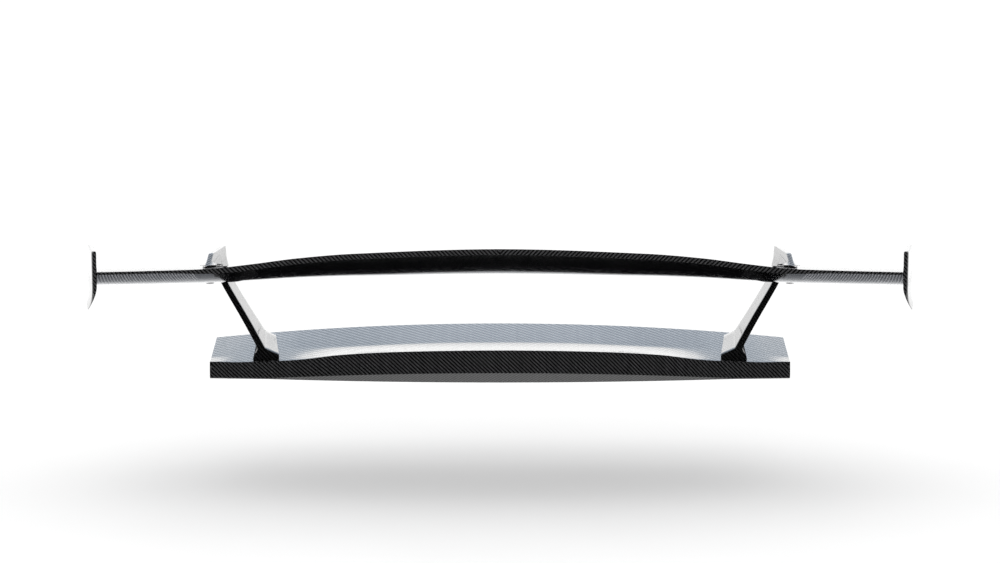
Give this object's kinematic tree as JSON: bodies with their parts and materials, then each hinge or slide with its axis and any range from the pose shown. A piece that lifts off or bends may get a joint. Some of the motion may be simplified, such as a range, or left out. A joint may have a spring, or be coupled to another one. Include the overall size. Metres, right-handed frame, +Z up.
{
  "type": "racing rear wing",
  "caption": "Swan-neck carbon-fibre rear wing: arched main plane with end plates, hung by leaning uprights from a ducktail base and adjustable in pitch.",
  "frame": {"origin": "middle of the underside of the box round the whole wing, on its plane of symmetry, level with the lowest point of the ducktail", "axes": "+X to the right seen from behind, along the span; +Y forwards, the driving direction; +Z up"},
  "size_m": [1.654, 0.3898, 0.3037],
  "materials": {
    "carbon_laminate": "clear-coated 2x2 twill carbon fibre laminate",
    "raw_laminate": "unpolished laminate, satin",
    "machined_aluminium": "machined, satin",
    "black_rubber": "matt",
    "stainless_steel": "satin"
  },
  "bodies": {
    "base": {"clamp_nut_L": "stainless_steel", "clamp_nut_R": "stainless_steel", "clamp_screw_L": "stainless_steel", "clamp_screw_R": "stainless_steel", "ducktail_end_rib_L": "raw_laminate", "ducktail_end_rib_R": "raw_laminate", "ducktail_inner_skin": "raw_laminate", "ducktail_outer_skin": "carbon_laminate", "foot_bolt_L_front": "stainless_steel", "foot_bolt_L_rear": "stainless_steel", "foot_bolt_R_front": "stainless_steel", "foot_bolt_R_rear": "stainless_steel", "foot_gasket_L": "black_rubber", "foot_gasket_R": "black_rubber", "load_post_L_front": "machined_aluminium", "load_post_L_rear": "machined_aluminium", "load_post_R_front": "machined_aluminium", "load_post_R_rear": "machined_aluminium", "mount_plate_L": "machined_aluminium", "mount_plate_R": "machined_aluminium", "pivot_nut_L": "stainless_steel", "pivot_nut_R": "stainless_steel", "pivot_screw_L": "stainless_steel", "pivot_screw_R": "stainless_steel", "trunk_pad_L": "black_rubber", "trunk_pad_R": "black_rubber", "upright_core_L": "machined_aluminium", "upright_core_R": "machined_aluminium", "upright_foot_L": "carbon_laminate", "upright_foot_R": "carbon_laminate", "upright_inner_shell_L": "carbon_laminate", "upright_inner_shell_R": "carbon_laminate", "upright_outer_shell_L": "carbon_laminate", "upright_outer_shell_R": "carbon_laminate"},
    "wing": {"bracket_shim_L": "black_rubber", "bracket_shim_R": "black_rubber", "end_plate_L": "carbon_laminate", "end_plate_R": "carbon_laminate", "end_plate_screw_L_front": "stainless_steel", "end_plate_screw_L_rear": "stainless_steel", "end_plate_screw_R_front": "stainless_steel", "end_plate_screw_R_rear": "stainless_steel", "front_spar": "raw_laminate", "mount_rib_L": "raw_laminate", "mount_rib_R": "raw_laminate", "rear_spar": "raw_laminate", "tip_rib_L": "raw_laminate", "tip_rib_R": "raw_laminate", "wing_bolt_L_front": "stainless_steel", "wing_bolt_L_rear": "stainless_steel", "wing_bolt_R_front": "stainless_steel", "wing_bolt_R_rear": "stainless_steel", "wing_bracket_L": "machined_aluminium", "wing_bracket_R": "machined_aluminium", "wing_lower_skin": "carbon_laminate", "wing_upper_skin": "carbon_laminate", "wing_washer_L_front": "stainless_steel", "wing_washer_L_rear": "stainless_steel", "wing_washer_R_front": "stainless_steel", "wing_washer_R_rear": "stainless_steel"}
  },
  "joints": [
    {"name": "wing_pitch", "type": "hinge", "parent": "base", "child": "wing", "pos_m": [0, -0.04038, 0.2547], "axis": [1, 0, 0], "range_deg": [0, 6]}
  ]
}
